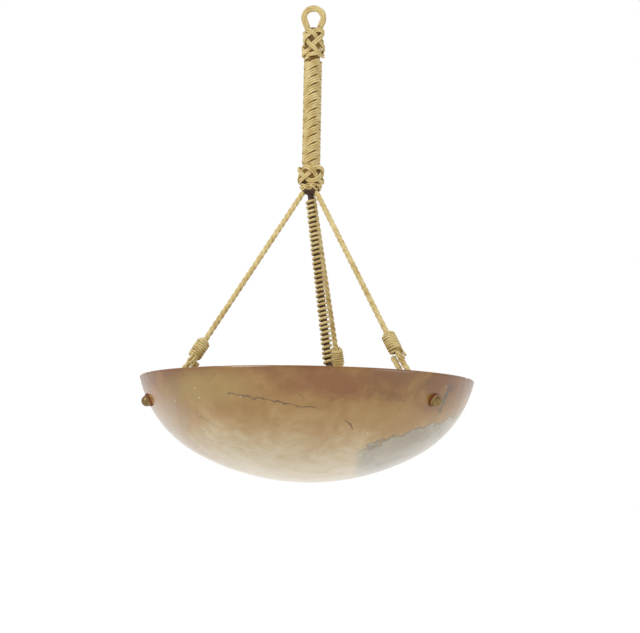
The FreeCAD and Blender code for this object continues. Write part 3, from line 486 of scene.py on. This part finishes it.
def alabaster():
    """Clouds by height and warped noise, then the patches, the grey cloud and the veins.

    Level = height + 0.9 * broad + 0.55 * clouds + 0.12 * fine - 0.78, and a ramp gives
    each level its colour; every noise takes half its weight off again.
    Low levels are pale, so the stone pales towards the bottom, partly as a painted reflection of
    the floor below.
    """
    material, shader = new_material("honey_alabaster", 0.27, Subsurface_Weight=0.12,
                                    Subsurface_Scale=6 * MM, IOR=1.53, Coat_Weight=0.15,
                                    Coat_Roughness=0.08)
    link = material.node_tree.links.new
    place = place_of(material)
    x, y, z = add(material, "SeparateXYZ", None, Vector=place).outputs
    height = maths(material, "DIVIDE", maths(material, "SUBTRACT", z, BOWL_BOTTOM), BOWL_DEPTH)
    broad = noise(material, place, 95 * MM, 3, 0.55, 0.6)
    clouds = noise(material, place, 34 * MM, 5, 0.6, 1.4)
    fine = noise(material, place, 7 * MM, 4, 0.6)
    level = maths(material, "MULTIPLY_ADD", broad, 0.9, maths(material, "SUBTRACT", height, 0.45))
    level = maths(material, "MULTIPLY_ADD", clouds, 0.55, maths(material, "SUBTRACT", level, 0.27))
    level = maths(material, "MULTIPLY_ADD", fine, 0.12, maths(material, "SUBTRACT", level, 0.06))
    # the ramp pales towards the bottom: partly the stone's own tone, partly a painted reflection
    # of the pale floor below
    stone = ramp(material, level, [(0.0, "#D8C8AA"), (0.22, "#C9B48C"), (0.45, "#B39260"),
                                   (0.66, "#A07A40"), (0.85, "#8E6428"), (1.0, "#7A4C18")])
    front = fade(material, y, 0.0, -20 * MM)

    def patch(middle_x, middle_drop, wide, high):
        """1 in the middle of an oval patch on the front, 0 outside it, with a cloudy edge.

        far = sqrt((x / wide)^2 + (z / high)^2) - 0.9 * clouds + 0.45, and 1 is the edge.
        """
        across = maths(material, "DIVIDE", maths(material, "SUBTRACT", x, middle_x * MM),
                       wide * MM)
        up = maths(material, "DIVIDE", maths(material, "SUBTRACT", z, RIM - middle_drop * MM),
                   high * MM)
        far = maths(material, "SQRT", maths(material, "ADD", product(material, across, across),
                                            product(material, up, up)))
        far = maths(material, "MULTIPLY_ADD", clouds, -0.9, maths(material, "ADD", far, 0.45))
        return product(material, fade(material, far, 1.0, 0.25), front)

    stone = mixed(material, product(material, patch(24, 16, 55, 20), 0.75), stone, "#7C4410")
    stone = mixed(material, product(material, patch(-95, 20, 60, 22), 0.6), stone, "#A08848")
    stone = mixed(material, product(material, patch(-155, 30, 12, 22), 0.6), stone, "#A8743C")
    # the grey-pink patch on the left flank: partly the stone's tone, partly a painted reflection
    # of the white room at the grazing side
    stone = mixed(material, product(material, patch(-140, 55, 35, 40), 0.45), stone, "#B4A08C")
    stone = mixed(material, product(material, patch(80, 45, 60, 18), 0.5), stone, "#A88448")

    # the grey cloud: under a jagged border that climbs to the right
    border = maths(material, "MULTIPLY_ADD", x, BORDER_CLIMB, RIM - BORDER_DROP)
    jagged = maths(material, "MULTIPLY_ADD", noise(material, place, 13 * MM, 4, 0.65),
                   2 * BORDER_SWAY, maths(material, "SUBTRACT", border, BORDER_SWAY))
    under = fade(material, maths(material, "SUBTRACT", z, jagged), 0.8 * MM, -0.8 * MM)
    edge = fade(material, maths(material, "ABSOLUTE", maths(material, "SUBTRACT", z, jagged)),
                1.8 * MM, 0.4 * MM)
    right = product(material, fade(material, x, 44 * MM, 60 * MM), front)
    grey = ramp(material, clouds, [(0.3, "#8A8270"), (0.55, "#A29A88"), (0.75, "#B4AA96")])
    stone = mixed(material, product(material, under, right, 0.85), stone, grey)
    stone = mixed(material, product(material, edge, right, 0.55), stone, "#62563C")

    # thin veins all round, where a warped noise crosses its middle
    threads = maths(material, "ABSOLUTE", maths(material, "SUBTRACT", noise(
        material, place, 70 * MM, 4, 0.62, 1.0), 0.5))
    thin = product(material, fade(material, threads, 0.006, 0.001),
                   fade(material, noise(material, place, 40 * MM), 0.5, 0.6), 0.4)
    stone = mixed(material, thin, stone, "#5E4820")
    for line in FRONT_VEINS:
        stone = mixed(material, vein(material, place, line), stone, line[-1])
    specks = add(material, "TexVoronoi", None, Vector=place, Scale=1 / (9 * MM))
    speck = product(material, fade(material, specks.outputs["Distance"], 0.10, 0.06),
                    fade(material, noise(material, place, 30 * MM), 0.55, 0.62), 0.8)
    stone = mixed(material, speck, stone, "#F0E8D8")
    link(stone, shader.inputs["Base Color"])
    bumped(material, shader, fine, 0.10 * MM)
    return material


ALABASTER = alabaster()
print("the stone has", len(ALABASTER.node_tree.nodes), "nodes")

# %% [markdown]
# ## The bowl
#
# A stone turner cuts the bowl on a lathe, so it is a profile turned about the upright.
# Outside, a wide curve for the bottom runs into a tighter one for the side without a corner,
# and inside the same two curves lie one wall's thickness further in.
# The broken edge of the rim has a few small chips, as old stone has.

# %% The bowl's profile
BOTTOM_CURVE = 242 * MM
SIDE_CURVE = 120 * MM
SIDE_CENTRE = np.array([58.4, 134.9]) * MM
WALL = 8 * MM
RIM_BEVEL = 0.8 * MM
BOWL_COLUMNS = 288
BOTTOM_ROWS = 46
SIDE_ROWS = 42


def bowl_wall(inward):
    """Radius and height of the wall's side from the middle to under the rim.

    The bottom is a circle of radius R about (0, R0), the side one of radius S about its own
    centre, both smaller by the inward distance. They meet where their normals agree.
    """
    centre = np.array([0, BOTTOM_CURVE])
    join = math.atan2(*(SIDE_CENTRE - centre) * (1, -1))
    rise = BOWL_DEPTH - RIM_BEVEL - SIDE_CENTRE[1]
    last = math.asin(rise / (SIDE_CURVE - inward)) + math.pi / 2
    bottom = np.linspace(0, join, BOTTOM_ROWS)[:, None]
    side = np.linspace(join, last, SIDE_ROWS)[1:, None]
    low = centre + (BOTTOM_CURVE - inward) * np.hstack([np.sin(bottom), -np.cos(bottom)])
    high = SIDE_CENTRE + (SIDE_CURVE - inward) * np.hstack([np.sin(side), -np.cos(side)])
    return np.concatenate([low, high])


outside, inside = bowl_wall(0.0), bowl_wall(WALL)[::-1]
rim_edge = np.array([[outside[-1, 0] - RIM_BEVEL, BOWL_DEPTH],
                     [inside[0, 0] + WALL / 2, BOWL_DEPTH + 0.1 * MM],
                     [inside[0, 0] + RIM_BEVEL, BOWL_DEPTH]])
profile = np.concatenate([outside, rim_edge, inside]) + np.array([0, BOWL_BOTTOM])
print(f"the bowl is {2 * outside[-1, 0] / MM:.1f} mm over the rim")

# %% The bowl and its chips
# azimuth in degrees, half width in degrees, depth in mm
CHIPS = [(190, 0.7, 1.4), (192.5, 0.5, 1.0), (205, 0.4, 0.8), (243, 0.6, 0.9),
         (262, 0.4, 0.6), (301, 0.5, 0.8), (338, 0.8, 0.9), (28, 0.6, 0.9), (112, 0.7, 1.0)]

CHIP_HEIGHT = 1.6 * MM
CHIP_REACH = 3 * MM
CHIP_DROP = 0.6

# a chip's bite falls off as exp(-(angle / half width)^2) and exp(-(depth / height)^2)
points, faces = turned_shape(profile, BOWL_COLUMNS)
angles = np.degrees(np.arctan2(points[:, 1], points[:, 0])) % 360
edge_rows = np.exp(-((points[:, 2] - RIM) / CHIP_HEIGHT) ** 2) * (
    np.hypot(points[:, 0], points[:, 1]) > RIM_RADIUS - CHIP_REACH)
for azimuth, half_width, depth in CHIPS:
    bite = np.exp(-((angles - azimuth) / half_width) ** 2) * edge_rows * depth * MM
    points[:, 2] -= bite * CHIP_DROP
    points[:, :2] *= (1 - bite / RIM_RADIUS)[:, None]
new_piece("alabaster_stone", [(points, faces)], ALABASTER, "bowl", ["alabaster_bowl"])

# %% [markdown]
# ## Knots
#
# Both knots are laid as a Turk's head, a flat plait that closes in a ring: one line goes
# round several times while it climbs and falls, and passes over and under itself in turn.
# Two or three strands run side by side along that line. The formula gives the whole line
# at once, which a chain of hand-placed points could not do as evenly.

# %% Plaited rings
STRAND = 1.25 * MM
CLOSE = 0.96
SAMPLES = 56


def plait(leads, bights, radius, weave, middle, half_height, strands, strand=STRAND,
          lean=0.0, turn=0.0):
    """Strands of a Turk's head about the upright.

    At t from 0 to 2 pi: angle = leads * t, height = middle + half_height * cos(bights * t),
    radius = radius + weave * sin((leads - 1) * bights * t), which goes over and under in turn.
    The strands lie side by side, square to the line and to the radius. A lean tips the
    ring, as hand work is, by about lean * 2 mm * sin(angle). The ends meet under a strand.
    """
    start = 1.5 * math.pi / ((leads - 1) * bights)
    t = np.linspace(start, start + 2 * math.pi, SAMPLES * leads)
    climb = bights * t
    angle = leads * t + turn
    swell = 1 + 0.35 * np.sin(angle * 2 + 1.0) * lean
    out = np.stack([np.cos(angle), np.sin(angle), 0 * angle], axis=1)
    reach = radius + weave * np.sin((leads - 1) * climb)
    line = out * reach[:, None]
    line[:, 2] = middle + half_height * np.cos(climb) + lean * 2 * MM * np.sin(angle) * swell
    way = np.gradient(line, axis=0)
    way /= np.linalg.norm(way, axis=1, keepdims=True)
    beside = np.cross(out, way)
    rows = (np.arange(strands) - (strands - 1) / 2) * 2 * strand * CLOSE
    return [swept(line + beside * row, out, strand) for row in rows]


SHOULDER = 3 * MM
SHOULDER_WIDTH = 0.75


def barrel(foot, top, radius):
    """A plain core with rounded shoulders, to close what shows between the strands; the darker
    silk it is given is painted shade.
    """
    narrow = radius * SHOULDER_WIDTH
    return turned_shape([(0, foot), (narrow, foot), (radius, foot + SHOULDER),
                         (radius, (foot + top) / 2), (radius, top - SHOULDER), (narrow, top),
                         (0, top)], 32)


# %% The upper knot
UPPER_RADIUS = 9.9 * MM
UPPER_WEAVE = 1.7 * MM
UPPER_INSET = 3.9 * MM
upper_middle = (UPPER_KNOT_TOP + UPPER_KNOT_FOOT) / 2
upper_half = (UPPER_KNOT_TOP - UPPER_KNOT_FOOT) / 2
upper_strands = plait(5, 4, UPPER_RADIUS, UPPER_WEAVE, upper_middle, upper_half - UPPER_INSET,
                      2, lean=0.35, turn=0.6)
new_piece("upper_knot_strands", upper_strands, SILK, "hanger", ["upper_collar_knot"])
new_piece("upper_knot_core_painted_shade", [barrel(UPPER_KNOT_FOOT + 1.5 * MM, UPPER_KNOT_TOP - 1 * MM,
                                     8.8 * MM)], SILK_IN_PAINTED_SHADE, "hanger")

# %% The lower collar
ROW = 10.3 * MM
collar_middle = COLLAR_TOP - ROW
collar_strands = plait(3, 5, 12.1 * MM, 1.5 * MM, collar_middle, ROW - 2.7 * MM, 2,
                       lean=0.15, turn=0.4)
foot_row = COLLAR_TOP - 2 * ROW - 3.2 * MM
collar_strands += plait(2, 7, 9.3 * MM, 1.1 * MM, foot_row, 2.6 * MM, 1, 1.2 * MM)
collar_strands += plait(2, 5, 10.3 * MM, 1.0 * MM, foot_row + 1.5 * MM, 1.6 * MM, 1, 1.15 * MM,
                        turn=0.9)
new_piece("collar_strands", collar_strands, SILK, "braid", ["lower_collar_knot"])
new_piece("collar_core_painted_shade", [barrel(COLLAR_TOP - 2 * ROW, COLLAR_TOP - 0.5 * MM, 10.9 * MM)],
          SILK_IN_PAINTED_SHADE, "braid")

# the round underside that the cords turn on: a cap of the swivel's sphere, shut inside; its dark
# brown is painted shade under the collar
CAP_ANGLE = 0.62
CAP_TOP = foot_row + 1 * MM
angle = np.linspace(0, CAP_ANGLE, 12)
underside = np.stack([SWIVEL_RADIUS * np.sin(angle), SWIVEL - SWIVEL_RADIUS * np.cos(angle)],
                     axis=1)
underside = np.concatenate([underside, [[8.6 * MM, CAP_TOP], [0, CAP_TOP]]])
new_piece("collar_underside_painted_shade", [turned_shape(underside, 40)], SHEATH_AND_PAINTED_SHADE, "braid")

# %% [markdown]
# ## The braid
#
# The round braid is a crown sinnet: every tier lays its strands over their neighbour and
# tucks them under the next. Seen from a side it is a column of short bars that rise to the
# right, each of three yarns, steep at its foot and flatter where it dives under again.
# Three such columns go round. Each bar is a short swept path, so tiers and columns are a loop.

# %% Bars of the braid
TIER = 9.3 * MM
COLUMNS = 3
YARNS = 3
YARN = 1.22 * MM
BAR_RISE = 13.5 * MM
BAR_SPREAD = math.radians(172)
BRAID_RADIUS = 10.25 * MM
TUCKED_RADIUS = 5.6 * MM
YARNS_CLOSE = 0.97
FACING = -math.pi / 2


def braid_bar(foot, facing):
    """The yarns of one bar.

    For s from 0 to 1: angle = facing + (s - 1/2) * spread, height = foot + rise * sin(s pi/2),
    radius = inner + (outer - inner) * sin(s pi)^0.6, so both ends dive under.
    """
    s = np.linspace(0, 1, 20)
    angle = facing + (s - 0.5) * BAR_SPREAD
    out = np.stack([np.cos(angle), np.sin(angle), 0 * s], axis=1)
    lift = BRAID_RADIUS - YARN - TUCKED_RADIUS
    line = out * (TUCKED_RADIUS + lift * np.sin(s * math.pi) ** 0.6)[:, None]
    line[:, 2] = foot + BAR_RISE * np.sin(s * math.pi / 2)
    way = np.gradient(line, axis=0)
    way /= np.linalg.norm(way, axis=1, keepdims=True)
    beside = np.cross(out, way)
    rows = (np.arange(YARNS) - (YARNS - 1) / 2) * 2 * YARN * YARNS_CLOSE
    return [swept(line + beside * row, out, YARN, 7) for row in rows]


bars = []
first_foot = COLLAR_TOP - BAR_RISE * 0.75
tiers = int((UPPER_KNOT_FOOT - BAR_RISE * 0.9 - first_foot) / TIER) + 1
for tier in range(tiers):
    for column in range(COLUMNS):
        bars += braid_bar(first_foot + (tier + column / COLUMNS) * TIER,
                          FACING + 2 * math.pi * column / COLUMNS)
new_piece("braid_bars", bars, SILK, "braid", ["main_braid"])
new_piece("braid_core_painted_shade", [barrel(COLLAR_TOP - 8 * MM, UPPER_KNOT_FOOT + 5 * MM, 7.4 * MM)],
          SILK_IN_PAINTED_SHADE, "braid")

# %% [markdown]
# ## The rope eye
#
# Above the upper knot the strands turn back over the hook as one bundle. Its middle line
# is the model's own: up one leg, round the hook, and down the other leg.

# %% The eye's strands
EYE_BEND = 10.5 * MM
EYE_CENTRE = -7 * MM
EYE_FOOT = (6.5 * MM, UPPER_KNOT_TOP - 9 * MM)
EYE_KNEE = (6.5 * MM, UPPER_KNOT_TOP)
EYE_TOUCH = math.radians(-21.8)
sweep = np.linspace(EYE_TOUCH, math.pi - EYE_TOUCH, 60)
over = np.stack([EYE_BEND * np.cos(sweep), EYE_CENTRE + EYE_BEND * np.sin(sweep)], axis=1)
flat = np.concatenate([[EYE_FOOT], [EYE_KNEE], over,
                       [[-EYE_KNEE[0], EYE_KNEE[1]]], [[-EYE_FOOT[0], EYE_FOOT[1]]]])
eye_line, _ = evenly(np.stack([flat[:, 0], 0 * flat[:, 0], flat[:, 1]], axis=1), 1 * MM)
EYE_LAY = 90 * MM
EYE_OFFSET = 2.25 * MM
smooth = np.ones(5) / 5
for axis in (0, 2):
    eye_line[2:-2, axis] = np.convolve(eye_line[:, axis], smooth, "valid")
eye_strands = laid_strands(eye_line, (0, 1, 0), 6, EYE_OFFSET, EYE_LAY, STRAND)
eye_strands += laid_strands(eye_line, (0, 1, 0), 1, 0.01 * MM, EYE_LAY, STRAND)
new_piece("eye_strands", eye_strands, SILK, "hanger", ["hanging_loop"])

# %% [markdown]
# ## The suspension cords
#
# Each cord is a rope of three strands in an S lay. It leaves the collar, runs straight to
# its eye bolt, goes round the wire of the eye, and comes back beside itself to the lashing.
# Its line is a smooth spline through chosen points, and the strands are laid round it.

# %% Lines of the cords
WIRE = 3.2 * MM
CORD = 6 * MM
BIGHT = WIRE / 2 + 0.1 * MM + CORD / 2
LASHING_PITCH = 4.95 * MM
LASHING_TURNS = 4
LASHING_HEIGHT = LASHING_TURNS * LASHING_PITCH + 4.4 * MM
PLAY = 0.3 * MM
BOLT_DROP = 26 * MM
EYE_INSIDE = 9 * MM
# from the stone's outside to the bolt's collar: the seat's gap, a washer and the collar
BOLT_STACK = WALL + (0.3 + 1.2 + 2.2) * MM
EYE_NECK = 1 * MM
EYE_REACH = BOLT_STACK + EYE_NECK + WIRE + EYE_INSIDE / 2 + (EYE_INSIDE + WIRE) / 2
OUTER_TURN = 1.06
INNER_TURN = 0.97
OVER_LASHING = 10 * MM


def unit(vector):
    """The vector at length one."""
    return np.asarray(vector, float) / np.linalg.norm(vector)


def hold_frame(azimuth):
    """Where a cord bears on its eye, the way up the cord, out across it, and sideways.

    The bolt stands square to the wall: hold = point on the wall - normal * reach, where the
    wall's radius at a height h is centre + sqrt(side curve^2 - (h - centre height)^2).
    """
    height = BOWL_DEPTH - BOLT_DROP
    radius = SIDE_CENTRE[0] + math.sqrt(SIDE_CURVE ** 2 - (height - SIDE_CENTRE[1]) ** 2)
    square = (np.array([radius, height]) - SIDE_CENTRE) / SIDE_CURVE
    angle = math.radians(azimuth)
    away = np.array([math.cos(angle), math.sin(angle), 0])
    hold = (away * (radius - square[0] * EYE_REACH)
            + np.array([0, 0, BOWL_BOTTOM + height - square[1] * EYE_REACH]))
    up = unit(np.array([0, 0, SWIVEL]) - hold)
    sideways = np.array([-math.sin(angle), math.cos(angle), 0])
    out = unit(np.cross(sideways, up))
    return hold, up, out if out @ away > 0 else -out, sideways


def cord_points(azimuth, lashing):
    """The cord's chosen points: collar, lashing, both sides of the wire, and its end.

    The leg that carries leans from the lashing by asin(bight / straight) to the far side of
    the wire, and the end comes back up the near side, one cord's thickness from it.
    """
    hold, up, out, _ = hold_frame(azimuth)
    straight = lashing - LASHING_HEIGHT / 2 - 2 * PLAY
    top = hold + up * (np.linalg.norm(np.array([0, 0, SWIVEL]) - hold) - SWIVEL_RADIUS - PLAY)
    lean = math.asin(BIGHT / straight)
    leave = hold + BIGHT * (up * math.sin(lean) + out * math.cos(lean))
    corner = hold + up * straight
    rest = math.atan2(CORD + PLAY - BIGHT, straight)
    back = up * math.cos(rest) - out * math.sin(rest)
    arrive = hold - BIGHT * (up * math.sin(rest) + out * math.cos(rest))
    down = unit(leave - corner)
    low_out = leave + down * (BIGHT * OUTER_TURN)
    low_in = arrive - back * (BIGHT * INNER_TURN)
    above = corner + up * (LASHING_HEIGHT + OVER_LASHING)
    return [top, above, corner, leave, low_out, low_in, arrive,
            arrive + back * (straight - 2 * PLAY)]


def drawn_line(points):
    """Points along the smooth spline that a cord's chosen points steer."""
    curve = bpy.data.curves.new("route", "CURVE")
    curve.dimensions = "3D"
    curve.resolution_u = 40
    spline = curve.splines.new("NURBS")
    spline.points.add(len(points) - 1)
    spline.points.foreach_set("co", np.hstack(
        [np.asarray(points), np.ones((len(points), 1))]).astype(np.float32).ravel())
    spline.order_u = 3
    spline.use_endpoint_u = True
    drawn = bpy.data.objects.new("route", curve)
    mesh = bpy.data.meshes.new_from_object(drawn)
    line = np.empty(len(mesh.vertices) * 3)
    mesh.vertices.foreach_get("co", line)
    bpy.data.objects.remove(drawn)
    return line.reshape(-1, 3)


# %% The cords
CORD_STRAND = 1.58 * MM
CORD_LAY = 21 * MM
for name, azimuth, lashing in SUSPENSIONS:
    line = drawn_line(cord_points(azimuth, lashing))
    sideways = hold_frame(azimuth)[3]
    strands = laid_strands(line, sideways, 3, CORD / 2 - CORD_STRAND, -CORD_LAY, CORD_STRAND, 10)
    cord = new_piece(name + "_cord_strands", strands, SILK, "bowl", [name + "_cord"])

# %% [markdown]
# ## Lashings
#
# Over its eye each cord is seized with its own strands, two side by side, four times round.
# Their cut ends hang under the turns in a small tuft.

# %% The lashings
SEIZING = 1.2 * MM
TURN_POINTS = 26
DIVE = 1.9 * MM
DIVE_ANGLE = 1.2
WAVE = 0.35 * MM

# how far to the side, how far it splays out, and how long each strand of the tuft is
TUFT = [(6.2, 0.10, 12.5), (6.9, 0.34, 10.5), (5.4, -0.16, 11.5), (6.6, 0.2, 9.0)]


def lashing_shapes(azimuth, middle):
    """Two layers of turns about the cord, and the tuft.

    A turn is a left-handed helix: out * R * cos a - sideways * R * sin a + up * pitch * a / 2 pi.
    Its ends dive under by 1.9 mm * (1 - ease)^2, and up takes a small wave besides.
    """
    hold, up, out, sideways = hold_frame(azimuth)
    shapes = []

    def turns(radius, starts, pitch, count, phase):
        for start in range(starts):
            a = np.linspace(0, 2 * math.pi * count, TURN_POINTS * count)
            ease = np.clip(np.minimum(a, a[-1] - a) / DIVE_ANGLE, 0, 1)
            reach = radius - DIVE * (1 - ease) ** 2
            around = a + phase + start * math.pi * 2 / starts
            ring = (out * np.cos(around)[:, None] - sideways * np.sin(around)[:, None])
            climb = (a / a[-1] - 0.5) * (pitch * count)
            wave = WAVE * np.sin(around * 1.5 + phase)
            path = hold + up * (middle + climb + wave)[:, None] + ring * reach[:, None]
            shapes.append(swept(path, ring, SEIZING))

    turns(6.25 * MM, 2, LASHING_PITCH, LASHING_TURNS, 0.4 + azimuth)
    turns(4.25 * MM, 1, 2.45 * MM, 9, 1.0)
    foot = middle - LASHING_HEIGHT / 2
    for number, (aside, splay, length) in enumerate(TUFT):
        s = np.linspace(0, 1, 12)[:, None]
        swing = out * (splay * 4 * MM) + sideways * (0.8 * MM)
        path = (hold + up * (foot + 4 * MM) - up * s * length * MM
                + sideways * aside * MM + swing * s ** 2
                + out * ((number - 1.5) * 1.9 * MM))
        shapes.append(swept(path, np.tile(sideways, (12, 1)), SEIZING * (1 + 0.12 * s[:, 0])))
    return shapes


for name, azimuth, lashing in SUSPENSIONS:
    new_piece(name + "_lashing_strands", lashing_shapes(azimuth, lashing), SILK, "bowl",
              [name + "_lashing"])

# %% [markdown]
# ## The wound flex
#
# Under the collar the brown flex comes out and is wound with one cord down to its grip.
# The winding is a right-handed helix of 35 turns, a little uneven as hand work is, and
# the brown sheath shows between the turns. A point of it is foot + way * run + ring * reach,
# where the ring turns about the flex.

# %% The flex and its winding
SLANT = math.radians(7.1)
FLEX = 6.5 * MM
FLEX_LENGTH = 186 * MM
TURNS = 35
TURN_POINTS_WOUND = 22
WOUND = 1.5 * MM
WINDING_START = 6 * MM
WINDING_END_GAP = 3 * MM
IN_THE_GRIP = 14 * MM
flex_way = np.array([math.sin(SLANT), 0, -math.cos(SLANT)])
flex_foot = np.array([0, 0, COLLAR_FOOT])
flex_ends = flex_foot + np.outer([-FLEX / 2, FLEX_LENGTH + IN_THE_GRIP], flex_way)
flex_line = np.linspace(*flex_ends, 60)
across = np.tile((0.0, 1.0, 0.0), (60, 1))
new_piece("flex_sheath", [swept(flex_line, across, FLEX / 2, 24)], SHEATH_AND_PAINTED_SHADE, "lamp",
          ["flex_drop"])

a = np.linspace(0, 2 * math.pi * TURNS, TURN_POINTS_WOUND * TURNS)
around = a + 0.25 * np.sin(a * 0.37) + 0.15 * np.sin(a * 0.11 + 1)
aside = np.array([math.cos(SLANT), 0, math.sin(SLANT)])
front_back = np.cross(flex_way, aside)
ring = aside * np.cos(around)[:, None] + front_back * np.sin(around)[:, None]
run = np.linspace(WINDING_START, FLEX_LENGTH - WINDING_END_GAP, len(a))[:, None]
reach = (FLEX / 2 + WOUND - 0.1 * MM) + 0.25 * MM * np.sin(a * 0.31)[:, None]
winding = flex_foot + flex_way * run + ring * reach
new_piece("flex_winding_cord", [swept(winding, ring, WOUND)], SILK, "lamp", ["flex_winding"])

# %% [markdown]
# ## Floor and light
#
# The lamp hangs in a plain white studio. The floor lies well under it and is white to the
# camera, and still takes the shadow. A large soft light above the camera's left shoulder
# gives the stone and the silk their gleam, and the white room fills the rest.

# %% The floor
FLOOR = BOWL_BOTTOM - 0.30
FLOOR_HALF = 9


def seen_directly(material_or_world):
    """1 for what the camera, a gloss or a clear material sees directly, else 0."""
    rays = add(material_or_world, "LightPath").outputs
    seen = add(material_or_world, "Math", {"operation": "MAXIMUM"},
               _0=rays["Is Camera Ray"], _1=rays["Is Glossy Ray"]).outputs[0]
    return add(material_or_world, "Math", {"operation": "MAXIMUM"},
               _0=seen, _1=rays["Is Transmission Ray"]).outputs[0]


floor_paint, floor_shader = new_material("studio_floor", 0.9)
floor_shader.inputs["Base Color"].default_value = colour("#F4F4F2")
floor_shader.inputs["Emission Color"].default_value = (1, 1, 1, 1)
lift = add(floor_paint, "Math", {"operation": "MULTIPLY"}, _0=seen_directly(floor_paint), _1=0.6)
floor_paint.node_tree.links.new(lift.outputs[0], floor_shader.inputs["Emission Strength"])
floor_mesh = bpy.data.meshes.new("floor")
corners = [(x * FLOOR_HALF, y * FLOOR_HALF, FLOOR) for x, y in
           ((-1, -1), (1, -1), (1, 1), (-1, 1))]
floor_mesh.from_pydata(corners, [], [(0, 1, 2, 3)])
floor_mesh.materials.append(floor_paint)
floor = bpy.data.objects.new("floor", floor_mesh)
bpy.context.scene.collection.objects.link(floor)

# %% The light
world = bpy.data.worlds.new("white_room")
bpy.context.scene.world = world
world.use_nodes = True
ROOM_LIGHT = 0.62
room = world.node_tree.nodes["Background"]
room.inputs["Color"].default_value = (1, 1, 1, 1)
strength = add(world, "Math", {"operation": "MULTIPLY_ADD"}, _0=seen_directly(world),
               _1=1 - ROOM_LIGHT, _2=ROOM_LIGHT)
world.node_tree.links.new(strength.outputs[0], room.inputs["Strength"])


def soft_light(name, place, size, power):
    """A square area light that faces the rim's middle; size in metres, power in watts."""
    lamp = bpy.data.objects.new(name, bpy.data.lights.new(name, "AREA"))
    lamp.data.size = size
    lamp.data.energy = power
    lamp.location = place
    aim = mathutils.Vector((0, 0, RIM)) - lamp.location
    lamp.rotation_mode = "QUATERNION"
    lamp.rotation_quaternion = aim.to_track_quat("-Z", "Y")
    bpy.context.scene.collection.objects.link(lamp)


soft_light("window", (-1.1, -1.3, 0.5), 0.7, 14)
soft_light("fill", (1.4, -0.9, -0.2), 0.9, 5)

bpy.context.scene.view_settings.view_transform = "Standard"
print("the floor is", round((BOWL_BOTTOM - FLOOR) / MM), "mm under the bowl")
